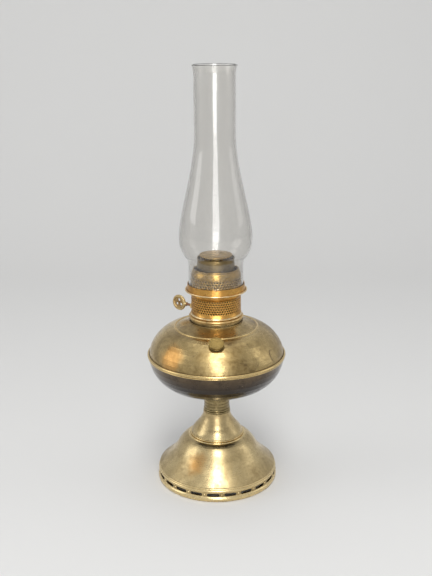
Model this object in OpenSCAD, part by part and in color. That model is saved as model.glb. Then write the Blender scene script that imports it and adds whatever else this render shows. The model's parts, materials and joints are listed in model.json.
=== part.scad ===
// Central draught oil lamp: pierced foot, brass font, lift-off gallery and tall glass chimney.
// Frame: millimetres, +Z up, origin at the centre of the foot on the table, filler cap towards -Y.
// Air enters through the foot, rises in the draught tube and leaves round the flame spreader.

/* [Sheet metal] */
// Wall of the spun brass shells
shell_t = 0.9; // [0.7:0.1:1.2]
// Running clearance between parts that slide past each other
slide_gap = 0.3; // [0.2:0.05:0.4]
// Running clearance of the raiser shaft in its bearings
shaft_gap = 0.05; // [0.02:0.01:0.08]

/* [Foot ring] */
// Outer radius of the foot at its lower bead
foot_r = 75.7; // [70:0.1:80]
// Radius of the round of the lower bead
foot_bead = 3.75; // [3:0.05:4]
// Depth of the flat that the lower bead stands on
foot_flat = 0.25; // [0.15:0.05:0.4]
// Height of the pierced band between the beads
band_h = 5.2; // [4.6:0.1:6]
// Height of one air slot
slot_h = 4.1; // [3:0.1:4.2]
// Length of one air slot round the band
slot_len = 15; // [11:0.5:15.5]
// Number of air slots
slots = 22; // [16:1:24]
// Radius of the round studs between the slots
stud_r = 2.6; // [2:0.1:3]
// Radius of the round of the upper bead
upper_bead = 2; // [1.5:0.1:2.2]
// Radius of the round of the thin bead on top of the ring
thin_bead = 1.2; // [0.9:0.1:1.3]

/* [Foot bell and dome] */
// Height of the bell from the foot ring to the step
bell_h = 41.5; // [38:0.5:46]
// Radius of the bell where its shoulder meets the step
step_r = 35.6; // [33:0.1:38]
// Radius of the round of the step bead
step_bead = 1.1; // [0.9:0.1:1.3]
// Radius of the dome at its base
dome_r = 32.2; // [30:0.1:33]
// Height of the dome from the step to the neck
dome_h = 30.4; // [28:0.2:33]
// Radius of the waist between dome and neck
waist_r = 17; // [16.5:0.1:18]

/* [Neck] */
// Outer radius of the neck
neck_r = 15.6; // [15:0.1:16.2]
// Height of the neck from the waist to the font
neck_h = 28.9; // [27:0.1:32]
// Radius of the rounds of the two waist beads
waist_bead = 1.05; // [0.7:0.05:1.2]
// Outer radius of the flange that carries the font
neck_flange_r = 24.6; // [23:0.1:27]
// Height of the flare under the flange
flare_h = 10.5; // [8:0.5:12]
// Radius of the rounds of the fine neck rings
fine_ring = 0.5; // [0.3:0.05:0.6]
// Height of the lowest fine ring above the waist
ring_rise = 8.4; // [8:0.1:8.8]
// Distance between the fine neck rings
ring_step = 4; // [3.6:0.1:4.2]

/* [Font] */
// Largest outer radius of the bowl, under the seam
font_r = 84.9; // [80:0.1:90]
// Height of the bowl from the neck to the seam
bowl_h = 44.9; // [42:0.1:50]
// Radius of the round of the seam bead
seam_bead = 1.7; // [1.4:0.1:2]
// Radius of the round of the thin lip under the seam bead
seam_lip = 0.8; // [0.6:0.1:1]
// Height of the shoulder from the seam to the ridge
shoulder_h = 34.4; // [32:0.1:38]
// Radius of the ridge line on the shoulder
ridge_r = 51.2; // [48:0.1:53]
// Radius of the round of the ridge
ridge_bead = 1; // [0.6:0.1:1.2]
// Rise of the crown from the ridge to the collar
crown_h = 6.8; // [5.5:0.1:8]

/* [Filler] */
// Place of the filler along the shoulder, 0 at the seam and 1 at the ridge
filler_place = 0.75; // [0.6:0.01:0.78]
// Outer radius of the filler neck
filler_r = 7.6; // [7:0.1:8]
// Wall of the filler neck
filler_t = 1; // [0.8:0.1:1.2]
// Length of the filler neck inside the font
filler_drop = 5; // [4:0.5:7]
// Outer radius of the flange of the filler neck
filler_flange_r = 10; // [9.6:0.1:11]
// Thickness of the cap gasket
gasket_t = 0.8; // [0.6:0.1:1]
// Outer radius of the cap
cap_r = 8.8; // [8.6:0.1:9.4]
// Height of the cap
cap_h = 3.6; // [3.4:0.1:4.5]
// Thickness of the top of the cap
cap_top_t = 0.9; // [0.7:0.1:1.1]
// Clearance of the thread between cap and filler neck
thread_gap = 0.1; // [0.05:0.01:0.15]
// Clearance between the cap and its gasket
cap_gap = 0.05; // [0.02:0.01:0.1]

/* [Draught tube and wick] */
// Outer radius of the draught tube
draught_r = 19; // [18.6:0.1:19.4]
// Wall of the draught tube
tube_t = 0.8; // [0.6:0.1:1]
// Thickness of the woven wick
wick_t = 1.8; // [1.4:0.1:2.2]
// Thickness of the sleeve that carries the wick
carrier_t = 0.6; // [0.5:0.1:0.8]
// Height of the sleeve that joins the draught tube to the font
flange_sleeve_h = 4.5; // [3:0.5:6]
// Wall of the outer wick tube
wick_tube_t = 0.6; // [0.5:0.1:0.8]
// Height of the draught tube above the burner base
draught_rise = 69.5; // [66:0.5:72]
// Height of the outer wick tube above the draught tube
tube_step = 2; // [1:0.5:3]
// Depth of the wick below the top of the draught tube at rest
wick_drop = 2; // [1.5:0.5:4]
// Gap between the foot of the wick at its lowest and the joint of the draught tube
wick_foot_gap = 1; // [0.5:0.5:20]
// Height of the carrier sleeve
carrier_h = 24; // [20:1:26]

/* [Collar and burner base] */
// Outer radius of the font collar
collar_r = 31.6; // [31:0.1:32.2]
// Wall of the font collar
collar_t = 1; // [0.8:0.1:1.2]
// Height of the collar above the font
collar_h = 4.8; // [4:0.1:6]
// Length of the collar inside the font
collar_drop = 4.5; // [3:0.5:6]
// Outer radius of the flange of the burner base
base_r = 33.4; // [32.8:0.1:34]
// Height of the flange of the burner base
base_h = 3.5; // [3:0.1:4]
// Thickness of the deck of the burner base
deck_t = 1; // [0.8:0.1:1.2]
// Length of the cup of the burner base inside the collar
base_drop = 6.5; // [5:0.5:8]
// Height of the lip that centres the gallery
lip_h = 1.5; // [1:0.1:2]

/* [Wick raiser] */
// Direction of the raiser shaft round the lamp, in degrees
raiser_angle = 142; // [120:1:160]
// Height of the shaft above the deck of the burner base
shaft_rise = 3.5; // [3.5:0.1:4]
// Radius of the raiser shaft
shaft_r = 1.6; // [1.4:0.1:1.8]
// Module of the pinion and rack
gear_module = 0.8; // [0.75:0.05:0.85]
// Number of teeth of the pinion
pinion_teeth = 10; // [9:1:10]
// Face width of the pinion and rack
gear_w = 3; // [2.6:0.1:3.2]
// Travel of the wick up from rest
travel_up = 6; // [4:0.5:6]
// Travel of the wick down from rest
travel_down = 10; // [8:0.5:11]
// Wall of the raiser housing
housing_t = 0.7; // [0.6:0.1:0.8]
// Outer radius of the shaft bushing
bushing_r = 3.2; // [3:0.1:3.2]
// Thickness of the packing washer
washer_t = 1.2; // [1:0.1:1.5]
// Width across the flats of the gland nut
nut_flats = 7.4; // [7.2:0.1:8]
// Thickness of the end wall of the gland nut
nut_end_t = 1.2; // [1:0.1:1.6]
// Distance of the knob's centre from the lamp's axis
knob_reach = 59; // [55:0.5:64]
// Radius of the knob
knob_r = 10; // [8:0.1:11]
// Thickness of the rim of the knob
knob_rim_t = 3.4; // [2.8:0.1:4]
// Thickness of the pierced web of the knob
knob_web_t = 1.4; // [1:0.1:2]

/* [Gallery] */
// Outer radius of the perforated skirt
skirt_r = 30.3; // [30:0.1:30.6]
// Height of the skirt from its foot to the chimney seat
skirt_h = 31.8; // [30:0.2:34]
// Radius of the round of the bead at the foot of the skirt
skirt_bead = 1.6; // [1.4:0.1:1.8]
// Outer radius of the rolled rim
rim_r = 37.9; // [37:0.1:39]
// Radius of the round of the rolled rim
rim_bead = 1; // [0.8:0.1:1.2]
// Height of the coronet that holds the glass
coronet_h = 6.8; // [5:0.2:9]
// Diameter of one perforation
hole_w = 2.2; // [1.6:0.1:2.6]
// Number of perforations in one row of the skirt
skirt_holes = 40; // [32:1:44]
// Rows of perforations in the skirt
skirt_rows = 4; // [3:1:4]
// Distance between the rows of perforations
row_pitch = 4.2; // [3.8:0.1:4.4]
// Height of the air diffuser above the chimney seat
diffuser_h = 26.6; // [24:0.2:29]
// Wall of the air diffuser
diffuser_t = 0.7; // [0.5:0.1:0.9]
// Number of perforations in one row of the diffuser
diffuser_holes = 30; // [24:1:34]
// Radius of the opening at the top of the diffuser
diffuser_top_r = 26.3; // [25.6:0.1:27]

/* [Chimney] */
// Outer radius of the glass where it seats
glass_r = 33.4; // [33:0.1:33.5]
// Wall of the glass
glass_t = 1.8; // [1.5:0.1:2]
// Height of the straight base of the glass
glass_base_h = 26.8; // [24:0.2:30]
// Outer radius of the bulb
bulb_r = 44; // [41:0.2:47]
// Height of the widest ring of the bulb above the seat
bulb_h = 63.8; // [60:0.2:68]
// Outer radius of the upper tube
flue_r = 24.2; // [23.6:0.1:26]
// Height above the seat at which the upper tube begins
flue_h = 186; // [175:1:200]
// Height of the whole glass
glass_h = 263.8; // [250:0.2:280]
// Outer radius of the flared lip
lip_r = 26.2; // [25:0.1:28]

/* [Flame spreader] */
// Radius of the spreader disc
disc_r = 20; // [19:0.1:20.5]
// Height of the spreader disc above the draught tube
disc_rise = 4.6; // [4.2:0.1:6]
// Thickness of the spreader disc at its edge
disc_t = 1.2; // [1:0.1:1.5]
// Length of the thimble inside the draught tube
thimble_drop = 17; // [14:0.5:20]
// Number of perforations in one row of the thimble
thimble_holes = 20; // [16:1:24]
// Wall of the thimble
thimble_t = 0.6; // [0.5:0.1:0.8]

/* [Hidden] */

// Steps of one curved stretch of an outline
CURVE_STEPS = 9;
// Overlap of a cutting body past the face it leaves
CUT = 1;

// Shapes of the curved outlines: control points of chained Bezier curves, as
// fractions of the way from the first corner to the last, [radial, upwards]
BELL_SHAPE = [[0, 0], [0.47, 0.37], [0.56, 0.56], [0.61, 0.65], [0.66, 0.73], [0.8, 0.96], [1, 1]];
DOME_SHAPE = [[0, 0], [0.04, 0.22], [0.29, 0.32], [0.48, 0.45], [0.67, 0.6], [0.97, 0.78], [1, 1]];
FLARE_SHAPE = [[0, 0], [0, 0.5], [0.3, 0.9], [1, 1]];
BOWL_SHAPE = [[0, 0], [0.72, 0.11], [0.93, 0.48], [1, 1]];
SHOULDER_SHAPE = [[0, 0], [0.04, 0.49], [0.52, 0.94], [1, 1]];
CROWN_SHAPE = [[0, 0], [0.35, 0.34], [0.74, 0.61], [1, 1]];
RIM_SHAPE = [[0, 0], [0.05, 0.8], [0.5, 0.9], [1, 1]];
DIFFUSER_SHAPE = [[0, 0], [0.05, 0.5], [0.5, 0.77], [1, 1]];
BULB_SHAPE = [[0, 0], [0, 0.26], [0.19, 0.31], [0.5, 0.43], [0.88, 0.61], [1, 0.75], [1, 1]];
FLUE_SHAPE = [[0, 0], [0, 0.24], [1, 0.67], [1, 1]];

// Heights, from the table upwards
band_z = 2 * foot_bead - 2 * foot_flat;
upper_z = band_z + band_h + upper_bead - 0.4;
ring_top = upper_z + upper_bead + 2 * thin_bead - 0.6;
step_z = ring_top + bell_h;
waist_z = step_z + dome_h;
font_z = waist_z + neck_h;
seam_z = font_z + bowl_h;
shoulder_z = seam_z + 2 * seam_bead + 2 * seam_lip - 0.6;
ridge_z = shoulder_z + shoulder_h;
crown_z = ridge_z + crown_h;
collar_z = crown_z + collar_h;
deck_z = collar_z + base_h;
shaft_z = deck_z + shaft_rise;
draught_z = deck_z + draught_rise;
tube_z = draught_z + tube_step;
wick_z = draught_z - wick_drop;
wick_foot_z = font_z + shell_t + flange_sleeve_h + wick_foot_gap + travel_down;
seat_z = deck_z + skirt_h + shell_t;
disc_z = draught_z + disc_rise;

// Radii
band_r = foot_r - 1.5;
bell_base_r = foot_r - 2.1;
air_r = draught_r - tube_t;
wick_in_r = draught_r + slide_gap;
wick_r = wick_in_r + wick_t;
carrier_r = wick_r + carrier_t;
wick_bore_r = carrier_r + slide_gap;
wick_tube_r = wick_bore_r + wick_tube_t;
base_bore_r = collar_r - collar_t - slide_gap;
skirt_in_r = skirt_r - shell_t;
lip_out_r = skirt_in_r - slide_gap;
deck_in_r = glass_r - glass_t - 1;
coronet_r = glass_r + 0.6;
cone_r = rim_r - 2 * rim_bead - 0.1;

// Raiser, along its own axis from the lamp's centre outwards
pitch_r = gear_module * pinion_teeth / 2;
tooth_pitch = PI * gear_module;
gear_in = wick_tube_r + 0.8;
gear_out = gear_in + gear_w;
housing_out = gear_out + 0.4 + housing_t;
housing_low = -(pitch_r + gear_module + 0.4);
rack_back = pitch_r + 2.6;
housing_high = rack_back + 0.4;
housing_h = travel_up + rack_len() / 2 + 10;
nut_in = base_r + 0.6;
bushing_out = nut_in + 2.2;
washer_out = bushing_out + washer_t;
nut_out = washer_out + nut_end_t;
hub_in = knob_reach - knob_r - 2.4;
function rack_len() = travel_up + travel_down + 7;
rack_z = shaft_z + (travel_down - travel_up) / 2;

// Filler, on the curve of the shoulder
shoulder_low = [font_r - 1.6, shoulder_z];
shoulder_high = [ridge_r, ridge_z];
filler_at = on_curve(scaled(shoulder_low, shoulder_high, SHOULDER_SHAPE), filler_place);
filler_dir = on_curve(scaled(shoulder_low, shoulder_high, SHOULDER_SHAPE), filler_place + 0.01) - filler_at;
filler_tilt = atan(-filler_dir[1] / filler_dir[0]);
flange_h = 0.7;

// A cubic Bezier point, for four control points c at t from 0 to 1
function on_curve(c, t) = pow(1 - t, 3) * c[0] + 3 * pow(1 - t, 2) * t * c[1]
    + 3 * (1 - t) * pow(t, 2) * c[2] + pow(t, 3) * c[3];
// Shape fractions placed between two corners
function scaled(a, b, shape) = [for (f = shape) [a[0] + (b[0] - a[0]) * f[0], a[1] + (b[1] - a[1]) * f[1]]];
// Points along chained Bezier curves between two corners
function curve(a, b, shape) = let (c = scaled(a, b, shape))
    concat([a], [for (k = [0:3:len(c) - 4], i = [1:CURVE_STEPS])
        on_curve([c[k], c[k + 1], c[k + 2], c[k + 3]], i / CURVE_STEPS)]);
// Inner radius of the coronet's cone at height z
function cone_in(z) = cone_r - shell_t
    + (coronet_r - cone_r + shell_t) * (z - seat_z + shell_t) / (coronet_h + shell_t);
// Unit vector square to a path at point i, towards the outside of a shell drawn upwards
function outward(p, i) = let (d = p[min(i + 1, len(p) - 1)] - p[max(i - 1, 0)]) [d[1], -d[0]] / norm(d);
function inset(p, t) = [for (i = [len(p) - 1:-1:0]) p[i] - t * outward(p, i)];

module sheet(path, t = shell_t) polygon(concat(path, inset(path, t)));
module ring(r_in, r_out, z0, z1) translate([r_in, z0]) square([r_out - r_in, z1 - z0]);
module bead(r_out, z, r) translate([r_out - r, z]) circle(r);
module around(count, turn = 0) for (i = [0:count - 1]) rotate([0, 0, (i + turn) * 360 / count]) children();
module radial_hole(w, z, r) translate([r - 2, 0, z]) rotate([0, 90, 0]) cylinder(d = w, h = 4);
// A band of radius r with staggered rows of round perforations
module pierced_band(r, t, z0, z1, count, rows, first_z, w) difference() {
    rotate_extrude() ring(r - t, r, z0, z1);
    for (k = [0:rows - 1]) around(count, (k % 2) / 2) radial_hole(w, first_z + k * row_pitch, r);
}
// The raiser's own frame: +X outwards along the shaft, the rack on the +Y side of it,
// which is the left side as seen from the knob, so that a clockwise turn lifts the wick
module raiser_frame() rotate([0, 0, raiser_angle]) mirror([0, 1, 0]) children();
module along_shaft(from, to, r, sides = 0)
    translate([from, 0, shaft_z]) rotate([0, 90, 0]) cylinder(r = r, h = to - from, $fn = sides);
// The filler's own frame: +Z square to the shoulder, origin on its surface
module filler_frame() translate([0, -filler_at[0], filler_at[1]]) rotate([filler_tilt, 0, 0]) children();

// ---- Foot ----

module foot_ring_profile() {
    difference() {
        bead(foot_r, foot_bead - foot_flat, foot_bead);
        bead(foot_r - shell_t, foot_bead - foot_flat, foot_bead - shell_t);
        ring(0, foot_r - foot_bead - 1.6, -CUT, 2 * foot_bead);
        ring(0, foot_r, -foot_flat - CUT, 0);
        ring(0, band_r - shell_t, band_z - 0.6, band_z + CUT);
    }
    bead(band_r + 0.9, upper_z, upper_bead);
    bead(band_r + 0.1, ring_top - thin_bead, thin_bead);
}

module foot_band() {
    slot_z = band_z + band_h / 2 - 0.2;
    difference() {
        rotate_extrude() ring(band_r - shell_t, band_r, band_z - 0.6, upper_z - 1);
        around(slots, 0.25) translate([band_r - 3, 0, slot_z]) rotate([90, 0, 90]) linear_extrude(5) {
            square([slot_len - slot_h, slot_h], center = true);
            for (side = [-1, 1]) translate([side * (slot_len - slot_h) / 2, 0]) circle(slot_h / 2);
        }
    }
    around(slots, 0.75) translate([band_r - 0.8, 0, slot_z]) sphere(stud_r - 0.4);
}

module foot_ring() color([0.76, 0.71, 0.58]) {
    rotate_extrude() foot_ring_profile();
    foot_band();
}

module foot_bell() color([0.74, 0.58, 0.37]) {
    edge = [bell_base_r, ring_top];
    shoulder = [step_r - 0.7, step_z - 1];
    rotate_extrude() {
        sheet(concat([edge], curve([bell_base_r, ring_top + 0.9], shoulder, BELL_SHAPE)));
        ring(dome_r - 4, step_r - step_bead, step_z - shell_t, step_z);
        bead(step_r, step_z - step_bead + 0.2, step_bead);
    }
}

module foot_dome() color([0.7, 0.58, 0.38]) {
    rotate_extrude() {
        sheet(curve([dome_r, step_z + 1.3], [waist_r, waist_z - 1.6], DOME_SHAPE));
        ring(dome_r - 3, dome_r, step_z, step_z + 1.4);
        bead(dome_r + 1.2, step_z + 0.9, 0.9);
        ring(neck_r - shell_t, waist_r, waist_z - 1.7, waist_z);
    }
}

module neck_stem() color([0.5, 0.42, 0.29]) {
    bead_step = 2.6 * waist_bead;
    rotate_extrude() {
        ring(neck_r - shell_t, neck_r, waist_z, font_z - flare_h);
        for (k = [0, 1]) bead(neck_r + 1.2 - 0.2 * k, waist_z + waist_bead + k * bead_step, waist_bead);
        for (k = [0:2]) bead(neck_r + fine_ring, waist_z + ring_rise + k * ring_step, fine_ring);
        sheet(concat([[neck_r, font_z - flare_h - CUT]], curve([neck_r, font_z - flare_h],
            [neck_flange_r - 0.4, font_z - shell_t - 0.1], FLARE_SHAPE)));
        ring(air_r, neck_flange_r, font_z - shell_t, font_z);
    }
}

// ---- Font ----

module font_bowl() color([0.45, 0.38, 0.3]) {
    bowl_top = seam_z + 0.3;
    rotate_extrude() {
        ring(draught_r, neck_flange_r - 0.4, font_z, font_z + shell_t);
        sheet(curve([neck_flange_r - 0.6, font_z], [font_r - 0.6, bowl_top], BOWL_SHAPE));
        bead(neck_flange_r + 3.6, font_z + 0.3, 0.9);
    }
}

module shoulder_profile() {
    crown_edge = [collar_r + shell_t, crown_z];
    sheet(concat(curve(shoulder_low, shoulder_high, SHOULDER_SHAPE),
        curve([ridge_r - 0.4, ridge_z + 0.1], crown_edge, CROWN_SHAPE)));
    bead(ridge_r + ridge_bead / 2, ridge_z, ridge_bead);
}

module font_shoulder() color([0.66, 0.55, 0.38]) {
    lip_z = seam_z + 0.4 + seam_lip;
    bead_z = lip_z + seam_lip + seam_bead - 0.1;
    difference() {
        rotate_extrude() {
            shoulder_profile();
            difference() {
                union() {
                    bead(font_r + 0.2, lip_z, seam_lip);
                    bead(font_r + 0.8, bead_z, seam_bead);
                }
                ring(0, font_r - 1.6 - shell_t, seam_z, shoulder_z + seam_bead);
            }
            ring(collar_r, collar_r + shell_t, crown_z - 1.6, crown_z);
        }
        filler_frame() translate([0, 0, -filler_drop]) cylinder(r = filler_r, h = 2 * filler_drop);
    }
}

module draught_tube() color([0.62, 0.52, 0.33]) {
    rotate_extrude() ring(air_r, draught_r, font_z, draught_z);
}

module tube_flange() color([0.55, 0.53, 0.5]) {
    rotate_extrude() {
        ring(draught_r, draught_r + 3.6, font_z + shell_t, font_z + shell_t + 1);
        ring(draught_r, draught_r + 1, font_z + shell_t, font_z + shell_t + flange_sleeve_h);
    }
}

module font_collar() color([0.66, 0.55, 0.38]) {
    rotate_extrude() {
        ring(collar_r - collar_t, collar_r, crown_z - collar_drop, collar_z);
        ring(collar_r, collar_r + 1.5, crown_z, crown_z + 1.4);
        bead(collar_r + 0.6, collar_z - 1, 0.9);
    }
}

module filler_neck() color([0.66, 0.55, 0.38]) {
    filler_frame() difference() {
        translate([0, 0, -filler_drop]) cylinder(r = filler_r, h = filler_drop + flange_h + gasket_t + 1.6);
        translate([0, 0, -filler_drop - CUT]) cylinder(r = filler_r - filler_t, h = 2 * filler_drop + cap_h);
    }
    difference() {
        filler_frame() translate([0, 0, -2]) difference() {
            cylinder(r = filler_flange_r, h = 2 + flange_h);
            translate([0, 0, -CUT]) cylinder(r = filler_r - filler_t / 2, h = 4 + flange_h);
        }
        rotate_extrude() polygon(concat([[0, shoulder_z]], curve(shoulder_low, shoulder_high, SHOULDER_SHAPE),
            [[ridge_r - 1, ridge_z], [0, ridge_z]]));
    }
}

module filler_gasket() color([0.3, 0.2, 0.12]) {
    filler_frame() translate([0, 0, flange_h]) difference() {
        cylinder(r = cap_r - 0.2, h = gasket_t);
        translate([0, 0, -CUT]) cylinder(r = filler_r + thread_gap, h = gasket_t + 2 * CUT);
    }
}

module filler_cap() color([0.72, 0.66, 0.42]) {
    filler_frame() translate([0, 0, flange_h + gasket_t + cap_gap]) rotate_extrude() {
        ring(filler_r + thread_gap, cap_r, 0, cap_h);
        ring(0, filler_r + 0.6, cap_h - cap_top_t - 0.3, cap_h - 0.3);
        bead(cap_r + 0.3, cap_h - 0.6, 0.6);
        bead(cap_r + 0.3, 0.6, 0.6);
    }
}

// ---- Burner ----

module burner_base() color([0.72, 0.45, 0.28]) {
    difference() {
        rotate_extrude() {
            ring(base_bore_r - collar_t, base_bore_r, collar_z - base_drop, deck_z);
            ring(base_bore_r - collar_t, base_r - 1, collar_z, deck_z);
            bead(base_r, collar_z + base_h / 2, base_h / 2);
            ring(wick_tube_r, base_bore_r, deck_z - deck_t, deck_z);
            ring(lip_out_r - 0.5, lip_out_r, deck_z, deck_z + lip_h);
        }
        raiser_frame() {
            translate([gear_in - 0.5, housing_low, deck_z - deck_t - CUT])
                cube([gear_w + 0.9, housing_high - housing_low, deck_t + CUT + 0.01]);
            translate([wick_tube_r - 3, pitch_r + 0.7, deck_z - deck_t - CUT])
                cube([gear_in - wick_tube_r + 3, 2.2, deck_t + CUT + 0.01]);
            translate([housing_out, -bushing_r - slide_gap, deck_z])
                cube([6, 2 * (bushing_r + slide_gap), lip_h + CUT]);
        }
    }
}

module outer_wick_tube() color([0.57, 0.51, 0.38]) {
    slot_low = rack_z - travel_down - 5;
    slot_high = rack_z + travel_up + 5;
    difference() {
        rotate_extrude() {
            ring(wick_bore_r, wick_tube_r, collar_z - 8, tube_z);
            bead(wick_tube_r + 0.3, tube_z - 0.5, 0.5);
        }
        raiser_frame() translate([wick_bore_r - 6, pitch_r + 0.7, slot_low])
            cube([8, 2.2, slot_high - slot_low]);
    }
}

module raiser_housing() color([0.6, 0.5, 0.32]) {
    raiser_frame() difference() {
        translate([wick_tube_r - 3, housing_low - housing_t, deck_z])
            cube([housing_out - wick_tube_r + 3, housing_high - housing_low + 2 * housing_t,
                housing_h + housing_t]);
        translate([wick_tube_r - 4, housing_low, deck_z - CUT])
            cube([housing_out - housing_t - wick_tube_r + 4, housing_high - housing_low, housing_h + CUT]);
        translate([0, 0, deck_z - CUT]) cylinder(r = wick_tube_r, h = housing_h + 10);
        along_shaft(gear_out - 1, housing_out + CUT, shaft_r + shaft_gap);
    }
}

module shaft_bushing() color([0.7, 0.42, 0.27]) {
    raiser_frame() difference() {
        along_shaft(housing_out, bushing_out, bushing_r);
        along_shaft(housing_out - CUT, bushing_out + CUT, shaft_r + shaft_gap);
    }
}

module packing_washer() color([0.25, 0.2, 0.16]) {
    raiser_frame() difference() {
        along_shaft(bushing_out, washer_out, bushing_r);
        along_shaft(bushing_out - CUT, washer_out + CUT, shaft_r + shaft_gap);
    }
}

module gland_nut() color([0.7, 0.42, 0.27]) {
    nut_corner_r = nut_flats / 2 / cos(30);
    raiser_frame() difference() {
        along_shaft(nut_in, nut_out, nut_corner_r, 6);
        along_shaft(nut_in - CUT, washer_out, bushing_r);
        along_shaft(washer_out - CUT, nut_out + CUT, shaft_r + shaft_gap);
    }
}

module raiser_shaft() color([0.55, 0.5, 0.42]) {
    raiser_frame() along_shaft(gear_in - 0.2, hub_in + 2, shaft_r);
}

// One straight-sided tooth, pointing along +Y from y = 0 at its root
module tooth(root_w, tip_w, h) polygon([[-root_w / 2, 0], [root_w / 2, 0], [tip_w / 2, h], [-tip_w / 2, h]]);

module raiser_pinion() color([0.7, 0.6, 0.35]) {
    root_r = pitch_r - 1.2 * gear_module;
    raiser_frame() translate([gear_in, 0, shaft_z]) rotate([90, 0, 90]) linear_extrude(gear_w) difference() {
        union() {
            circle(root_r);
            for (i = [0:pinion_teeth - 1]) rotate(i * 360 / pinion_teeth - 90)
                translate([0, root_r - 0.25])
                    tooth(1.9 * gear_module, 0.6 * gear_module, 2.1 * gear_module + 0.25);
        }
        circle(shaft_r);
    }
}

module raiser_knob() color([0.7, 0.6, 0.39]) {
    raiser_frame() {
        translate([knob_reach, 0, shaft_z]) rotate([90, 0, 0]) difference() {
            rotate_extrude() {
                ring(0, knob_r - 1, -knob_web_t / 2, knob_web_t / 2);
                ring(knob_r - 2.6, knob_r - 0.6, -knob_rim_t / 2, knob_rim_t / 2);
                bead(knob_r, 0, knob_rim_t / 2);
                ring(0, 1.6, -knob_web_t / 2 - 0.5, knob_web_t / 2 + 0.5);
            }
            for (i = [0:2]) rotate(90 + 120 * i) translate([3.6, 0, -knob_rim_t])
                cylinder(r = 1.9, h = 2 * knob_rim_t);
        }
        difference() {
            along_shaft(hub_in, knob_reach - knob_r + 0.8, 2.6);
            along_shaft(hub_in - CUT, hub_in + 2, shaft_r);
        }
    }
}

// ---- Wick ----

module wick() color([0.87, 0.83, 0.72]) {
    rotate_extrude() ring(wick_in_r, wick_r, wick_foot_z, wick_z);
}

module wick_carrier() color([0.66, 0.56, 0.36]) {
    rotate_extrude() ring(wick_r, carrier_r, rack_z - carrier_h / 2, rack_z + carrier_h / 2);
}

module wick_rack() color([0.7, 0.6, 0.35]) {
    raiser_frame() {
        translate([gear_in, 0, rack_z - rack_len() / 2]) {
            translate([0, pitch_r + gear_module, 0])
                cube([gear_w, rack_back - pitch_r - gear_module, rack_len()]);
            for (k = [-6:5]) let (z = shaft_z - rack_z + rack_len() / 2 + (k + 0.5) * tooth_pitch)
                if (z > 1.2 && z < rack_len() - 1.2)
                    translate([0, pitch_r + gear_module + 0.1, z]) rotate([90, 0, 90]) rotate(90)
                        linear_extrude(gear_w)
                            tooth(1.9 * gear_module, 0.6 * gear_module, 1.7 * gear_module + 0.1);
        }
        difference() {
            translate([wick_r, pitch_r + 1.1, rack_z - 3]) cube([gear_in - wick_r + 0.1, 1.4, 6]);
            translate([0, 0, rack_z - 4]) cylinder(r = carrier_r, h = 8);
        }
    }
}

// ---- Gallery and glass ----

module gallery_skirt() color([0.71, 0.53, 0.26]) {
    band_low = deck_z + 2 * skirt_bead + 1.6;
    band_high = band_low + (skirt_rows - 1) * row_pitch + hole_w + 2.4;
    flare_z = seat_z - shell_t - 4.2;
    difference() {
        union() {
            pierced_band(skirt_r, shell_t, band_low, band_high, skirt_holes, skirt_rows,
                band_low + hole_w / 2 + 1.2, hole_w);
            rotate_extrude() {
                sheet(concat([[skirt_r, band_high]],
                    curve([skirt_r, flare_z], [rim_r - rim_bead - 0.6, seat_z - 2 * shell_t], RIM_SHAPE)));
                bead(skirt_r + 0.3, flare_z - 1, 0.6);
                bead(rim_r, seat_z - 0.6, rim_bead);
            }
            rotate_extrude() {
                ring(skirt_in_r, skirt_r, deck_z, band_low);
                difference() {
                    bead(skirt_r + 1.3, deck_z + skirt_bead, skirt_bead);
                    ring(0, skirt_in_r + 0.2, deck_z - CUT, band_low);
                }
            }
        }
        raiser_frame() {
            along_shaft(skirt_in_r - 4, skirt_r + 4, bushing_r + slide_gap + 0.1);
            translate([skirt_in_r - 4, -bushing_r - slide_gap - 0.1, deck_z - CUT])
                cube([8, 2 * (bushing_r + slide_gap + 0.1), shaft_rise + CUT]);
        }
    }
}

module gallery_coronet() color([0.66, 0.5, 0.28]) {
    top_z = seat_z + coronet_h;
    rotate_extrude() {
        ring(deck_in_r, cone_r, seat_z - shell_t, seat_z);
        polygon([[cone_r, seat_z - shell_t], [coronet_r + 0.7, top_z], [coronet_r, top_z],
            [cone_r - shell_t, seat_z - shell_t]]);
        bead(coronet_r + 0.9, top_z, 0.45);
    }
}

module gallery_diffuser() color([0.53, 0.43, 0.3]) {
    top_z = seat_z + diffuser_h;
    band_high = seat_z + 3 * row_pitch + 4;
    pierced_band(deck_in_r, diffuser_t, seat_z - shell_t, band_high, diffuser_holes, 3, seat_z + 5, hole_w);
    rotate_extrude() {
        sheet(curve([deck_in_r, band_high], [diffuser_top_r + 0.5, top_z - 1], DIFFUSER_SHAPE), diffuser_t);
        bead(diffuser_top_r + 0.8, top_z - 0.8, 0.8);
    }
}

module chimney_springs() color([0.6, 0.5, 0.3]) {
    low = seat_z + 0.8;
    top = seat_z + coronet_h - 0.3;
    touch_r = glass_r + 0.25;
    low_r = cone_in(low) - 0.05;
    top_r = cone_in(top) - 0.02;
    around(4, 0.5) rotate([0, 0, -5]) rotate_extrude(angle = 10) polygon([
        [low_r - 0.3, low], [touch_r, low + 2.6], [top_r - 0.35, top],
        [top_r, top], [touch_r + 0.3, low + 2.6], [low_r, low]]);
}

module chimney() color([0.75, 0.78, 0.78, 0.35]) {
    base_top = [glass_r - 0.5, seat_z + glass_base_h];
    bulb = [bulb_r, seat_z + bulb_h];
    flue = [flue_r, seat_z + flue_h];
    lip_z = seat_z + glass_h;
    path = concat(
        [[glass_r, seat_z], [glass_r, seat_z + 2]],
        curve(base_top, bulb, BULB_SHAPE),
        curve(bulb, flue, FLUE_SHAPE),
        [[flue_r + 0.3, lip_z - 7], [flue_r + 0.8, lip_z - 3.5], [lip_r - 0.3, lip_z - 1.2], [lip_r, lip_z]]
    );
    rotate_extrude() sheet(path, glass_t);
}

// ---- Flame spreader ----

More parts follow.
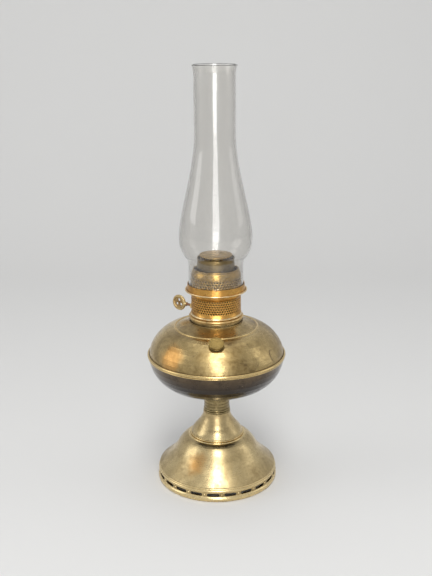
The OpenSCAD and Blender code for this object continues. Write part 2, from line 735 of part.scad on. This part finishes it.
module spreader_thimble() color([0.5, 0.44, 0.3]) {
    thimble_r = air_r - slide_gap;
    low = draught_z - thimble_drop;
    flange_t = 0.7;
    pierced_band(thimble_r, thimble_t, low, draught_z, thimble_holes, 3, low + 3.4, hole_w);
    rotate_extrude() ring(thimble_r - thimble_t, draught_r - 0.2, draught_z, draught_z + flange_t);
    difference() {
        rotate_extrude() ring(thimble_r - thimble_t, thimble_r, draught_z + flange_t, disc_z);
        around(thimble_holes) radial_hole(hole_w, (draught_z + flange_t + disc_z) / 2, thimble_r);
    }
}

module spreader_disc() color([0.46, 0.42, 0.31]) {
    rotate_extrude() {
        polygon([[0, disc_z], [disc_r - 0.6, disc_z], [disc_r - 0.6, disc_z + disc_t],
            [disc_r * 0.5, disc_z + disc_t + 0.5], [0, disc_z + disc_t + 0.7]]);
        bead(disc_r, disc_z + disc_t / 2, disc_t / 2);
    }
}

foot_ring();
foot_bell();
foot_dome();
neck_stem();
font_bowl();
font_shoulder();
draught_tube();
tube_flange();
font_collar();
filler_neck();
filler_gasket();
filler_cap();
burner_base();
outer_wick_tube();
raiser_housing();
shaft_bushing();
packing_washer();
gland_nut();
raiser_shaft();
raiser_pinion();
raiser_knob();
wick();
wick_carrier();
wick_rack();
gallery_skirt();
gallery_coronet();
gallery_diffuser();
chimney_springs();
chimney();
spreader_thimble();
spreader_disc();
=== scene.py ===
"""Central draught oil lamp: materials, small visual pieces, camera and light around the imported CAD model."""
import json
import math

import bmesh
import bpy
from mathutils import Matrix, Vector


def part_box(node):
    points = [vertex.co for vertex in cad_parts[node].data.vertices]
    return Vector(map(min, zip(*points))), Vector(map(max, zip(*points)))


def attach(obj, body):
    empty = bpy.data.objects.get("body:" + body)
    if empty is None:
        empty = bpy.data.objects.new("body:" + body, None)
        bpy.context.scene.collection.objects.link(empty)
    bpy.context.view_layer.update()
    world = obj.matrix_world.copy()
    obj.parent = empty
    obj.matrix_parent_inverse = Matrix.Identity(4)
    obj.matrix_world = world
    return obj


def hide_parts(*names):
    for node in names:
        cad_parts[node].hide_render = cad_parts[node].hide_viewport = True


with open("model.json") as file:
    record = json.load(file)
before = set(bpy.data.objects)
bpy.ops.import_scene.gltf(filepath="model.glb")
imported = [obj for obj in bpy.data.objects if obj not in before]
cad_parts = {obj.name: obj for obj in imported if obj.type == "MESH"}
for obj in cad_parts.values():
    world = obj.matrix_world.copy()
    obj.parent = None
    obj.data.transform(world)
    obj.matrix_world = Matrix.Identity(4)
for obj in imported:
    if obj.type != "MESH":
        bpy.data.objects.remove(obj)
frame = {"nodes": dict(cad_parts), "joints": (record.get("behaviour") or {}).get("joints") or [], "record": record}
nodes = frame["nodes"]
joints = {joint["name"]: joint for joint in frame["joints"]}
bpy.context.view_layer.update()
TURN = 2 * math.pi


# ---- Materials ----

class Paint:
    """One procedural node material, built from short calls."""

    def __init__(self, name):
        self.mat = bpy.data.materials.new(name)
        self.mat.use_nodes = True
        self.tree = self.mat.node_tree
        self.tree.nodes.clear()
        self.out = self.tree.nodes.new("ShaderNodeOutputMaterial")
        self.coords = self.plain = self.tree.nodes.new("ShaderNodeTexCoord").outputs["Object"]

    def put(self, socket, value):
        if isinstance(value, bpy.types.NodeSocket):
            self.tree.links.new(value, socket)
        elif socket.type == "RGBA":
            socket.default_value = (*value, 1)
        else:
            socket.default_value = value

    def add(self, kind, inputs, output=0, **settings):
        node = self.tree.nodes.new(kind)
        for key, value in settings.items():
            setattr(node, key, value)
        for key, value in inputs.items():
            self.put(node.inputs[key], value)
        return node.outputs[output]

    def noise(self, scale, detail=4.0, rough=0.55, stretch=None, warp=0.0):
        where = self.coords
        if stretch:
            where = self.add("ShaderNodeMapping", {"Vector": where, "Scale": stretch})
        return self.add("ShaderNodeTexNoise", {"Vector": where, "Scale": scale, "Detail": detail,
                                               "Roughness": rough, "Distortion": warp})

    def wave(self, scale, warp, direction):
        return self.add("ShaderNodeTexWave", {"Vector": self.coords, "Scale": scale, "Distortion": warp, "Detail": 2.0},
                        1, bands_direction=direction)

    def spread(self, value, low, high, to_low=0.0, to_high=1.0):
        """A smooth step between low and high."""
        return self.add("ShaderNodeMapRange", {"Value": value, "From Min": low, "From Max": high,
                                               "To Min": to_low, "To Max": to_high}, interpolation_type="SMOOTHSTEP")

    def calc(self, operation, a, b):
        return self.add("ShaderNodeMath", {0: a, 1: b}, operation=operation)

    def total(self, *terms):
        """The sum of terms, each a value or a pair of value and weight."""
        result = None
        for term in terms:
            part = self.calc("MULTIPLY", *term) if isinstance(term, tuple) else term
            result = part if result is None else self.calc("ADD", result, part)
        return result

    def about_zero(self, value):
        return self.calc("SUBTRACT", value, 0.5)

    def within(self, value, low, high):
        """1 where the value lies between low and high."""
        return self.add("ShaderNodeMath", {0: value, 1: (low + high) / 2, 2: (high - low) / 2}, operation="COMPARE")

    def mix(self, factor, a, b):
        node = self.tree.nodes.new("ShaderNodeMix")
        node.data_type = "RGBA"
        self.put(node.inputs["Factor"], factor)
        self.put(node.inputs[6], a)
        self.put(node.inputs[7], b)
        return node.outputs[2]

    def height(self):
        return self.add("ShaderNodeSeparateXYZ", {"Vector": self.plain}, "Z")

    def length(self, vector):
        return self.add("ShaderNodeVectorMath", {0: vector}, "Value", operation="LENGTH")

    def bands(self, spans):
        """1 on the turned beads and rims: spans are (low z, high z, inner r, outer r) in metres."""
        z = self.height()
        r = self.length(self.add("ShaderNodeVectorMath", {0: self.plain, 1: (1, 1, 0)}, operation="MULTIPLY"))
        found = [self.calc("MULTIPLY", self.within(z, z0, z1), self.within(r, r0, r1)) for z0, z1, r0, r1 in spans]
        return highest(self.tree, found)

    def bump(self, height, strength, distance, normal=None):
        inputs = {"Height": height, "Strength": strength, "Distance": distance}
        if normal is not None:
            inputs["Normal"] = normal
        return self.add("ShaderNodeBump", inputs)

    def groove_shade(self, distance):
        """1 in the open, 0 deep in a groove: an ambient-occlusion mask for painted shade."""
        shade = self.add("ShaderNodeAmbientOcclusion", {"Distance": distance}, "AO", samples=6, only_local=True)
        return self.spread(shade, 0.35, 0.85)

    def blend(self, factor, a, b):
        return self.add("ShaderNodeMixShader", {0: factor, 1: a, 2: b})

    def show(self, shader):
        self.tree.links.new(shader, self.out.inputs["Surface"])
        return self.mat


def highest(tree, values):
    """The largest of several values in a node tree."""
    top = values[0]
    for value in values[1:]:
        node = tree.nodes.new("ShaderNodeMath")
        node.operation = "MAXIMUM"
        tree.links.new(top, node.inputs[0])
        tree.links.new(value, node.inputs[1])
        top = node.outputs[0]
    return top


def srgb(r, g, b):
    return tuple((c / 255 / 12.92) if c <= 10.3 else ((c / 255 + 0.055) / 1.055) ** 2.4 for c in (r, g, b))


def darker(colour, share):
    return tuple(share * c for c in colour)


def aged_metal(name, bright, dull, stain, rough=(0.24, 0.5), stains=0.5, shade_reach=0.004, dents=1.0, seed=0.0, coat=0.0,
               tinted_spot=None, painted_dark_below=None, rims=(), rim_tint=None):
    """Worn plated or bare brass: mottled tarnish, stains, spinning lines, specks, and painted shade in the grooves.

    warm is (tint, spot, reach) of a tinted spot, on the foot and shoulder a painted reflection of a warm lamp; deep is
    (tint, full below z, none above z) of painted shade towards the bottom; and rims are the beads that are rubbed
    bright and carry a painted highlight, as in Paint.bands.
    """
    p = Paint(name)
    p.coords = p.add("ShaderNodeVectorMath", {0: p.coords, 1: (seed, seed * 0.7, seed * 0.3)}, operation="ADD")
    cloud = p.spread(p.noise(26, 7, 0.62, warp=0.6), 0.36, 0.68)
    fine = p.noise(230, 6, 0.65, warp=0.3)
    wide = p.spread(p.noise(11, 3, 0.5, warp=0.9), 0.42, 0.6)
    blots = p.calc("MULTIPLY", p.spread(p.noise(48, 5, 0.7, warp=1.4), 0.55, 0.7), stains)
    specks = p.spread(p.noise(1100, 2, 0.5), 0.66, 0.72)
    tarnish = p.total((cloud, 0.5), (p.spread(fine, 0.38, 0.66), 0.25), (wide, 0.25))

    colour = p.mix(blots, p.mix(tarnish, bright, dull), stain)
    # A tinted patch around a spot; on the foot and shoulder this is a painted reflection of a warm lamp
    if tinted_spot:
        tint, spot, reach = tinted_spot
        away = p.add("ShaderNodeVectorMath", {0: p.plain, 1: spot}, "Value", operation="DISTANCE")
        away = p.total(away, (p.about_zero(p.noise(40, 4, 0.6, warp=0.6)), reach))
        colour = p.mix(p.spread(away, reach * 0.3, reach, 0.7, 0), colour, tint)
    colour = p.mix(p.calc("MULTIPLY", specks, 0.55), colour, darker(stain, 0.25))
    # Painted shade: the colour darkens towards the bottom, below a given height
    if painted_dark_below:
        tint, full, none = painted_dark_below
        uneven = p.total(p.height(), (p.about_zero(cloud), 0.006))
        colour = p.mix(p.spread(uneven, full, none, 1, 0), colour, tint)
    # Painted shade: ambient occlusion darkens the grooves and the gaps between parts; the rims are kept out of it
    unshaded = p.groove_shade(shade_reach)
    if rims:
        rim = p.bands(rims)
        unshaded = highest(p.tree, [unshaded, p.calc("MULTIPLY", rim, 0.8)])
        tarnish = p.calc("MULTIPLY", tarnish, p.spread(rim, 0, 1, 1, 0.35))
        # Rubbed-bright beads, partly wear and partly a painted highlight: a paler, brighter colour on the rims
        polish_and_glint = p.mix(p.spread(fine, 0.4, 0.65, 0, 0.5), rim_tint or tuple(min(1, 1.25 * c) for c in bright), bright)
        colour = p.mix(p.calc("MULTIPLY", rim, 0.75), colour, polish_and_glint)
    # Painted shade in the grooves: a darkened stain colour where the occlusion mask is low
    colour = p.mix(unshaded, darker(stain, 0.28), colour)

    lines = p.noise(1.0, 3, 0.6, stretch=(14, 14, 1500))
    rub = p.spread(p.noise(90, 4, 0.6, warp=0.5), 0.5, 0.7)
    roughness = p.total(p.spread(tarnish, 0, 0.9, *rough), (p.about_zero(lines), 0.16), (rub, 0.08),
                        p.spread(unshaded, 0, 1, 0.25, 0))
    normal = p.bump(p.noise(15, 3, 0.5), 0.35 * dents, 0.004)
    normal = p.bump(lines, 0.10, 0.0004, normal)
    normal = p.bump(p.total(fine, (specks, -0.6)), 0.10, 0.0004, normal)
    return p.show(p.add("ShaderNodeBsdfPrincipled", {
        "Base Color": colour, "Metallic": 1.0, "Roughness": roughness, "Normal": normal,
        "Coat Weight": p.calc("MULTIPLY", unshaded, coat), "Coat Roughness": 0.22}))


def cotton(char_low, char_high):
    """Woven cotton, charred towards its upper end."""
    p = Paint("wick_cotton")
    weave = p.calc("MULTIPLY", p.wave(160.0, 1.2, "Z"), p.wave(190.0, 1.5, "X"))
    colour = p.mix(weave, srgb(196, 180, 146), srgb(232, 222, 196))
    charred = p.calc("MULTIPLY", p.spread(p.height(), char_low, char_high), p.spread(p.noise(300), 0.3, 0.55))
    colour = p.mix(charred, colour, srgb(34, 26, 20))
    return p.show(p.add("ShaderNodeBsdfPrincipled", {
        "Base Color": colour, "Roughness": 0.95, "Normal": p.bump(weave, 0.6, 0.0006)}))


def leather():
    p = Paint("gasket_leather")
    grain = p.noise(700, 4, 0.6)
    colour = p.mix(p.spread(grain, 0.35, 0.7), srgb(44, 30, 20), srgb(88, 62, 40))
    return p.show(p.add("ShaderNodeBsdfPrincipled", {
        "Base Color": colour, "Roughness": p.spread(grain, 0.3, 0.7, 0.55, 0.8), "Normal": p.bump(grain, 0.5, 0.0003)}))


def blown_glass():
    """Clear blown glass: slow waves, a thin film of dust and smoke, and light that passes in the shadow."""
    p = Paint("glass")
    normal = p.bump(p.noise(1.0, 1, 0.4, stretch=(11, 11, 5)), 0.03, 0.002)
    streaks = p.noise(1.0, 5, 0.6, stretch=(60, 60, 9))
    film = p.spread(p.total((p.noise(30, 6, 0.66, warp=0.8), 0.5), (streaks, 0.5)), 0.42, 0.62)
    above_flame = p.spread(p.height(), 0.27, 0.33, 0.0, 0.25)
    at_top = p.spread(p.height(), 0.44, 0.51, 0.3, 0.8)
    film = p.calc("MULTIPLY", film, highest(p.tree, [above_flame, at_top]))
    side_on = p.calc("POWER", p.add("ShaderNodeLayerWeight", {"Blend": 0.5}, "Facing"), 3.0)
    clear = p.add("ShaderNodeBsdfPrincipled", {
        "Base Color": p.mix(side_on, (0.88, 0.87, 0.85), (0.36, 0.345, 0.33)), "Roughness": 0.012, "IOR": 1.5,
        "Transmission Weight": 1.0, "Normal": normal})
    haze = p.add("ShaderNodeBsdfDiffuse", {"Color": (0.52, 0.49, 0.44), "Roughness": 0.6})
    sheen = p.add("ShaderNodeBsdfAnisotropic", {"Color": (0.9, 0.89, 0.86), "Roughness": 0.24, "Normal": normal})
    dusty = p.blend(p.spread(film, 0, 1, 0.015, 0.16), clear, p.blend(0.7, haze, sheen))
    passing = p.add("ShaderNodeBsdfTransparent", {"Color": (0.88, 0.88, 0.87)})
    return p.show(p.blend(p.add("ShaderNodeLightPath", {}, "Is Shadow Ray"), dusty, passing))


def z_span(node):
    low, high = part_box(node)
    return low.z, high.z


# Places that the materials and the finer pieces share, in metres
raiser_axis = -Vector(joints["raiser_turn"]["axis"])
raiser_height = joints["raiser_turn"]["pos_m"][2]
raiser_at = math.atan2(raiser_axis.y, raiser_axis.x)
KNOB_REACH = 0.059
knob_at = (KNOB_REACH * raiser_axis.x, KNOB_REACH * raiser_axis.y, raiser_height)
foot_low, foot_high = z_span("foot_ring")
step_low = z_span("foot_dome")[0]
waist_low = z_span("neck_stem")[0]
seam_low, crown_high = z_span("font_shoulder")
deck_low = z_span("gallery_skirt")[0]
seat, lip_high = z_span("chimney")
foot_rims = [(foot_low, foot_low + 0.0072, 0.06, 0.09), (foot_high - 0.0060, foot_high, 0.0735, 0.09),
             (step_low - 0.0020, step_low + 0.0020, 0.0312, 0.0365)]
neck_rims = [(waist_low, waist_low + 0.0046, 0.0158, 0.02)]
shoulder_rims = [(seam_low, seam_low + 0.0054, 0.0838, 0.09),
                 (crown_high - 0.0080, crown_high - 0.0056, 0.0494, 0.0522)]
gallery_rims = [(seat - 0.0020, seat + 0.0008, 0.0358, 0.04), (deck_low, deck_low + 0.0032, 0.0304, 0.033)]

BROWN = srgb(92, 66, 36)
# Tint of the painted reflection of a warm lamp on the foot and shoulder
WARM_REFLECTION_TINT = srgb(206, 150, 76)
materials = {
    "foot_brass": aged_metal("foot_brass", srgb(214, 192, 142), srgb(146, 124, 82), BROWN, (0.24, 0.40), stains=0.25,
                             coat=0.3, tinted_spot=(WARM_REFLECTION_TINT, (-0.030, -0.052, 0.042), 0.020), rims=foot_rims),
    "neck_brass": aged_metal("neck_brass", srgb(164, 146, 102), srgb(84, 70, 44), BROWN, (0.22, 0.42), stains=0.4,
                             seed=1.3, coat=0.3, rims=neck_rims),
    # The bowl's brass is painted darker than the rest and darker still towards its bottom: a painted reflection of dark
    # surroundings and painted shade
    "bowl_brass": aged_metal("bowl_brass", srgb(126, 106, 80), srgb(52, 42, 33), srgb(30, 24, 20), (0.12, 0.3),
                             stains=0.4, dents=0.7, seed=2.1, coat=0.5, painted_dark_below=(srgb(34, 27, 23), 0.138, 0.172)),
    "shoulder_brass": aged_metal("shoulder_brass", srgb(208, 182, 126), srgb(126, 104, 62), srgb(72, 52, 32),
                                 (0.2, 0.38), stains=0.6, seed=3.7, coat=0.3,
                                 tinted_spot=(WARM_REFLECTION_TINT, (-0.052, -0.056, 0.181), 0.022), rims=shoulder_rims),
    "cap_brass": aged_metal("cap_brass", srgb(170, 146, 90), srgb(118, 98, 54), BROWN, (0.3, 0.5), seed=4.4),
    "gallery_brass": aged_metal("gallery_brass", srgb(222, 170, 88), srgb(150, 106, 50), srgb(90, 54, 22),
                                (0.22, 0.42), shade_reach=0.003, seed=5.2, coat=0.15, rims=gallery_rims,
                                rim_tint=srgb(240, 222, 178)),
    "diffuser_brass": aged_metal("diffuser_brass", srgb(200, 164, 92), srgb(116, 92, 48), srgb(50, 38, 20),
                                 (0.2, 0.42), seed=6.1),
    "tube_brass": aged_metal("tube_brass", srgb(150, 132, 94), srgb(90, 74, 48), srgb(60, 44, 26), (0.3, 0.5),
                             seed=7.3),
    # The knob's middle is painted as a darker brown patch
    "knob_brass": aged_metal("knob_brass", srgb(226, 202, 150), srgb(150, 122, 76), srgb(84, 56, 26), (0.24, 0.42),
                             shade_reach=0.003, seed=8.5, tinted_spot=(srgb(120, 78, 30), knob_at, 0.0098)),
    "copper": aged_metal("copper", srgb(236, 204, 142), srgb(176, 144, 90), srgb(84, 60, 30), (0.24, 0.44), seed=9.1,
                         coat=0.15),
    "shaft_steel": aged_metal("shaft_steel", srgb(176, 132, 104), srgb(112, 78, 58), srgb(84, 46, 28), (0.32, 0.55),
                              seed=9.9),
    "solder": aged_metal("solder", srgb(186, 184, 176), srgb(120, 118, 112), srgb(74, 70, 64), (0.4, 0.6), seed=10.7),
    "wick_cotton": cotton(0.274, 0.284),
    "gasket_leather": leather(),
    "glass": blown_glass(),
}

for part in frame["record"]["subparts"]:
    mesh = nodes[part["node"]].data
    mesh.materials.clear()
    mesh.materials.append(materials[part["material_slot"]])


# ---- Pieces that refine the CAD solids ----

def piece(name, mesh_data, body, slot_name):
    obj = bpy.data.objects.new(name, mesh_data)
    bpy.context.scene.collection.objects.link(obj)
    mesh_data.materials.append(materials[slot_name])
    for face in mesh_data.polygons:
        face.use_smooth = True
    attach(obj, body)
    return obj


def tidy(name, verts, faces):
    """A mesh with merged corners and outward faces."""
    mesh, bm = bpy.data.meshes.new(name), bmesh.new()
    corners = [bm.verts.new(v) for v in verts]
    for face in faces:
        bm.faces.new([corners[i] for i in face])
    bmesh.ops.remove_doubles(bm, verts=bm.verts, dist=1e-6)
    bmesh.ops.recalc_face_normals(bm, faces=bm.faces)
    bm.to_mesh(mesh)
    bm.free()
    return mesh


def revolve(name, outline, sides, start=0.0, sweep=TURN):
    """A closed outline of (radius, height) points in metres, turned about the lamp's axis, with end caps on an arc."""
    whole = sweep == TURN
    verts, faces, n = [], [], len(outline)
    rows = sides if whole else sides + 1
    for i in range(rows):
        a = start + sweep * i / sides
        verts += [(r * math.cos(a), r * math.sin(a), z) for r, z in outline]
    for i in range(sides):
        j = (i + 1) % rows
        faces += [(i * n + k, j * n + k, j * n + (k + 1) % n, i * n + (k + 1) % n) for k in range(n)]
    if not whole:
        faces += [tuple(range(n)), tuple((rows - 1) * n + k for k in range(n))[::-1]]
    return tidy(name, verts, faces)


def pierced(name, radius, wall, low, pitch, rows, count, hole):
    """A cylindrical sheet with staggered rows of round holes, each in its own tile."""
    verts, faces = [], []
    edge = [(-.5, -.5), (-.25, -.5), (0, -.5), (.25, -.5), (.5, -.5), (.5, -.25), (.5, 0), (.5, .25),
            (.5, .5), (.25, .5), (0, .5), (-.25, .5), (-.5, .5), (-.5, .25), (-.5, 0), (-.5, -.25)]
    corners, step = len(edge), TURN / count
    for k in range(rows):
        for i in range(count):
            middle, height = (i + (k % 2) / 2) * step, low + (k + 0.5) * pitch
            first = len(verts)
            for r in (radius, radius - wall):
                for u, v in edge:
                    a = middle + u * step
                    verts.append((r * math.cos(a), r * math.sin(a), height + v * pitch))
                for u, v in edge:
                    size = math.hypot(u, v)
                    a = middle + u / size * hole / radius
                    verts.append((r * math.cos(a), r * math.sin(a), height + v / size * hole))
            tile_out, hole_out, tile_in, hole_in = (first + corners * m for m in range(4))
            for e in range(corners):
                f = (e + 1) % corners
                faces += [(tile_out + e, tile_out + f, hole_out + f, hole_out + e),
                          (tile_in + f, tile_in + e, hole_in + e, hole_in + f),
                          (hole_out + e, hole_out + f, hole_in + f, hole_in + e)]
    return tidy(name, verts, faces)


def studs(name, places, radius):
    """Small round studs, half as high as wide, each at (point, normal)."""
    mesh, bm = bpy.data.meshes.new(name), bmesh.new()
    for point, normal in places:
        turn = Vector((0, 0, 1)).rotation_difference(normal).to_matrix().to_4x4()
        place = Matrix.Translation(point) @ turn @ Matrix.Diagonal((radius, radius, radius / 2, 1))
        bmesh.ops.create_uvsphere(bm, u_segments=12, v_segments=8, radius=1, matrix=place)
    bm.to_mesh(mesh)
    bm.free()
    return mesh


def bezier(points, steps=24):
    """Points along a chain of cubic curves; each curve's last control point starts the next."""
    out = []
    for k in range(0, len(points) - 3, 3):
        a, b, c, d = points[k:k + 4]
        for i in range(steps + (k + 4 >= len(points))):
            t = i / steps
            w = ((1 - t) ** 3, 3 * t * (1 - t) ** 2, 3 * t * t * (1 - t), t ** 3)
            out.append(tuple(sum(wi * q[m] for wi, q in zip(w, (a, b, c, d))) for m in (0, 1)))
    return out


def between(a, b, shape):
    """Control points given as shares of the way from a to b."""
    return [(a[0] + (b[0] - a[0]) * f, a[1] + (b[1] - a[1]) * g) for f, g in shape]


def arc(centre, radius, start, sweep, steps):
    """Points on a circle in the outline's plane, with angles in degrees."""
    angles = [math.radians(start + sweep * i / steps) for i in range(steps + 1)]
    return [(centre[0] + radius * math.cos(a), centre[1] + radius * math.sin(a)) for a in angles]


def inset(outline, wall):
    """The outline moved in by the wall, square to its own run."""
    out = []
    for i, (r, z) in enumerate(outline):
        before, after = outline[max(i - 1, 0)], outline[min(i + 1, len(outline) - 1)]
        dr, dz = after[0] - before[0], after[1] - before[1]
        size = math.hypot(dr, dz)
        out.append((r - wall * dz / size, z + wall * dr / size))
    return out


def chimney_outline(wall=0.0018, base_r=0.0334, lip_r=0.0262):
    """The same outline as the CAD solid, with rounded lips."""
    bulb_at, flue_at = (0.044, seat + 0.0638), (0.0242, seat + 0.186)
    bulb_shape = [(0, 0), (0, 0.26), (0.19, 0.31), (0.5, 0.43), (0.88, 0.61), (1, 0.75), (1, 1)]
    flue_shape = [(0, 0), (0, 0.24), (1, 0.67), (1, 1)]
    outer = [(base_r, seat), (base_r - 0.0001, seat + 0.009), (base_r - 0.0003, seat + 0.018)]
    outer += bezier(between((base_r - 0.0005, seat + 0.0268), bulb_at, bulb_shape))[:-1]
    outer += bezier(between(bulb_at, flue_at, flue_shape), 40)
    outer += [(flue_at[0], seat + 0.215), (flue_at[0], seat + 0.24)]
    outer += bezier([(flue_at[0], seat + 0.25), (flue_at[0], lip_high - 0.007),
                     (lip_r - 0.0012, lip_high - 0.003), (lip_r, lip_high - 0.0005)], 10)
    inner = inset(outer, wall)
    top_out, top_in = outer[-1], inner[-1]
    lip_at = ((top_in[0] + top_out[0]) / 2, top_out[1] - 0.0002)
    lip = [(lip_at[0] + wall / 2 * math.cos(a), min(lip_at[1] + wall * 0.35 * math.sin(a), lip_high))
           for a in (0.6, 1.1, 1.57, 2.1, 2.6)]
    return outer + lip + inner[::-1]


chimney = piece("chimney_glass", revolve("chimney_glass", chimney_outline(), 192), "chimney", "glass")
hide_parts("chimney")

# Gallery skirt: the CAD solid's outline with the fine piercing of the real sheet
SKIRT_R, SKIRT_WALL, NOTCH_HALF = 0.0303, 0.0009, 0.0036
SKIRT_ROWS, SKIRT_HOLES, SKIRT_PITCH, SKIRT_HOLE_R = 6, 60, 0.0029, 0.00104
FOOT_BEAD_R, RIM_ROLL_R = 0.0016, 0.001
notch = math.asin(NOTCH_HALF / SKIRT_R)
skirt_in = SKIRT_R - SKIRT_WALL
pierce_low = deck_low + 0.0071
pierce_high = pierce_low + SKIRT_ROWS * SKIRT_PITCH
flare_low, flare_r = seat - 0.0051, 0.0363
foot = [(skirt_in, pierce_low), (skirt_in, deck_low)]
foot += arc((SKIRT_R - 0.0003, deck_low + FOOT_BEAD_R), FOOT_BEAD_R, -90, 168, 14)
foot += [(SKIRT_R, pierce_low)]
skirt_foot = piece("skirt_foot", revolve("skirt_foot", foot[::-1], 180, raiser_at + notch, TURN - 2 * notch),
                   "gallery", "gallery_brass")
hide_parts("gallery_skirt")
piece("skirt_piercing", pierced("skirt_piercing", SKIRT_R, SKIRT_WALL, pierce_low, SKIRT_PITCH, SKIRT_ROWS, SKIRT_HOLES,
                                SKIRT_HOLE_R), "gallery", "gallery_brass")
bead_low = flare_low - 0.0016
outer = [(SKIRT_R, pierce_high), (SKIRT_R, bead_low)]
outer += [(SKIRT_R + 0.0006 * math.sin(math.pi * i / 6), bead_low + 0.0002 * i) for i in range(1, 6)]
outer += bezier(between((SKIRT_R, flare_low), (flare_r, seat - 0.0018), [(0, 0), (0.05, 0.8), (0.5, 0.9), (1, 1)]), 14)
inner = [(skirt_in, pierce_high)]
inner += bezier(between((skirt_in, flare_low), (flare_r - 0.0001, seat - 0.0009),
                        [(0, 0), (0.05, 0.85), (0.5, 0.94), (1, 1)]), 14)
rolled = arc((flare_r + 0.0006, seat - 0.0006), RIM_ROLL_R, -125, 285, 20)
piece("skirt_rim", revolve("skirt_rim", outer + rolled + inner[::-1], 192), "gallery", "gallery_brass")

# Air diffuser: the CAD solid's outline with the fine mesh of the real sheet
DIFFUSER_R, DIFFUSER_WALL, DOME_ROLL_R = 0.0306, 0.0007, 0.0008
MESH_ROWS, MESH_HOLES, MESH_PITCH, MESH_HOLE_R = 5, 54, 0.00308, 0.00085
dome_low, dome_high = seat + 0.0166, seat + 0.0266
mesh_low = seat + 0.0012
outer = bezier(between((DIFFUSER_R, dome_low), (0.0268, dome_high - 0.001),
                       [(0, 0), (0.05, 0.5), (0.5, 0.77), (1, 1)]), 16)
inner = [(r - DIFFUSER_WALL, z - 0.0002) for r, z in outer]
rolled = arc((0.0271, dome_high - DOME_ROLL_R), DOME_ROLL_R, -70, 260, 14)
diffuser = piece("diffuser_dome", revolve("diffuser_dome", outer + rolled + inner[::-1], 180),
                 "gallery", "diffuser_brass")
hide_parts("gallery_diffuser")
diffuser_in = DIFFUSER_R - DIFFUSER_WALL
ring = [(DIFFUSER_R, seat - 0.0009), (DIFFUSER_R, mesh_low), (diffuser_in, mesh_low), (diffuser_in, seat - 0.0009)]
piece("diffuser_foot", revolve("diffuser_foot", ring, 180), "gallery", "diffuser_brass")
piece("diffuser_mesh", pierced("diffuser_mesh", DIFFUSER_R, DIFFUSER_WALL, mesh_low, MESH_PITCH, MESH_ROWS, MESH_HOLES,
                               MESH_HOLE_R), "gallery", "diffuser_brass")

# Filler cap: two generic rings of fine dots, square to the sloping shoulder
CAP_TOP = 0.00485  # above the joint's pivot: gasket, clearance and plate, less the sunk foot of a dot
cap_axis = Vector(joints["cap_turn"]["axis"])
cap_at = Vector(joints["cap_turn"]["pos_m"]) + cap_axis * CAP_TOP
across = Vector((1, 0, 0))
up_slope = cap_axis.cross(across)
ring_dots = []
for count, radius in ((36, 0.0070), (24, 0.0046)):
    for i in range(count):
        a = TURN * i / count
        ring_dots.append((cap_at + radius * (math.cos(a) * across + math.sin(a) * up_slope), cap_axis))
piece("cap_dots", studs("cap_dots", ring_dots, 0.00042), "cap", "cap_brass")


# ---- Stage ----

def sweep_floor(front=-3.1, bend=0.9, top=3.4, half_width=3.1):
    """A plain floor that curves up into a backdrop; its far edges fade into the world."""
    line = [(front, 0.0)] + [(y, z + bend) for y, z in arc((bend, 0.0), bend, -90, 90, 24)] + [(2 * bend, top)]
    n = len(line)
    mesh = bpy.data.meshes.new("floor")
    mesh.from_pydata([(x, y, z) for x in (-half_width, half_width) for y, z in line], [],
                     [(i, i + 1, n + i + 1, n + i) for i in range(n - 1)])
    for face in mesh.polygons:
        face.use_smooth = True
    p = Paint("stage_floor")
    sheet = p.add("ShaderNodeBsdfPrincipled", {"Base Color": (0.72, 0.715, 0.70), "Roughness": 0.85})
    faded = p.blend(p.spread(p.length(p.plain), 2.1, 3.0), sheet, p.add("ShaderNodeBsdfTransparent", {}))
    mesh.materials.append(p.show(faded))
    return bpy.data.objects.new("floor", mesh)


def softbox(name, place, aim, size, power):
    data = bpy.data.lights.new(name, "AREA")
    data.shape = "RECTANGLE"
    data.size, data.size_y = size
    data.energy = power
    obj = bpy.data.objects.new(name, data)
    bpy.context.scene.collection.objects.link(obj)
    obj.location = place
    obj.rotation_euler = (Vector(aim) - Vector(place)).to_track_quat("-Z", "Y").to_euler()


floor = sweep_floor()
bpy.context.scene.collection.objects.link(floor)

# A pale world: a little brighter where it is seen, directly, mirrored or through the glass
LIGHT_LEVEL, SEEN_LEVEL = 0.52, 0.74
world = bpy.data.worlds.new("studio")
bpy.context.scene.world = world
world.use_nodes = True
sky = world.node_tree
rays = sky.nodes.new("ShaderNodeLightPath")
seen = highest(sky, [rays.outputs[kind] for kind in ("Is Camera Ray", "Is Glossy Ray", "Is Transmission Ray")])
level = sky.nodes.new("ShaderNodeMapRange")
level.inputs["To Min"].default_value = LIGHT_LEVEL
level.inputs["To Max"].default_value = SEEN_LEVEL
sky.links.new(seen, level.inputs["Value"])
sky.links.new(level.outputs[0], sky.nodes["Background"].inputs["Strength"])
sky.nodes["Background"].inputs["Color"].default_value = (0.80, 0.81, 0.83, 1)

softbox("key", (-2.3, -0.25, 1.3), (0, 0, 0.2), (1.2, 1.8), 10)
softbox("fill", (2.3, 0.1, 1.2), (0, 0, 0.2), (1.0, 1.8), 4)
softbox("strip", (0.04, -1.9, 0.85), (0, 0, 0.3), (0.75, 1.7), 15.5)
softbox("overhead", (0.04, -1.1, 2.0), (0, 0, 0.15), (0.62, 1.3), 19)
softbox("top", (0, 0.3, 2.6), (0, 0, 0), (2.2, 1.8), 7.5)

PITCH, ROLL = 16.7, 0.4  # degrees: down from the horizon, and the lamp's lean in the picture
camera_data = bpy.data.cameras.new("camera")
camera_data.lens = 55.0
camera_data.sensor_width = 36.0
camera = bpy.data.objects.new("camera", camera_data)
bpy.context.scene.collection.objects.link(camera)
camera.location = (0, -1.02565, 0.55784)
look, lean = Matrix.Rotation(math.radians(90 - PITCH), 3, "X"), Matrix.Rotation(math.radians(-ROLL), 3, "Z")
camera.rotation_euler = (look @ lean).to_euler()
bpy.context.scene.camera = camera
bpy.context.scene.view_settings.view_transform = "Standard"

bpy.context.view_layer.update()
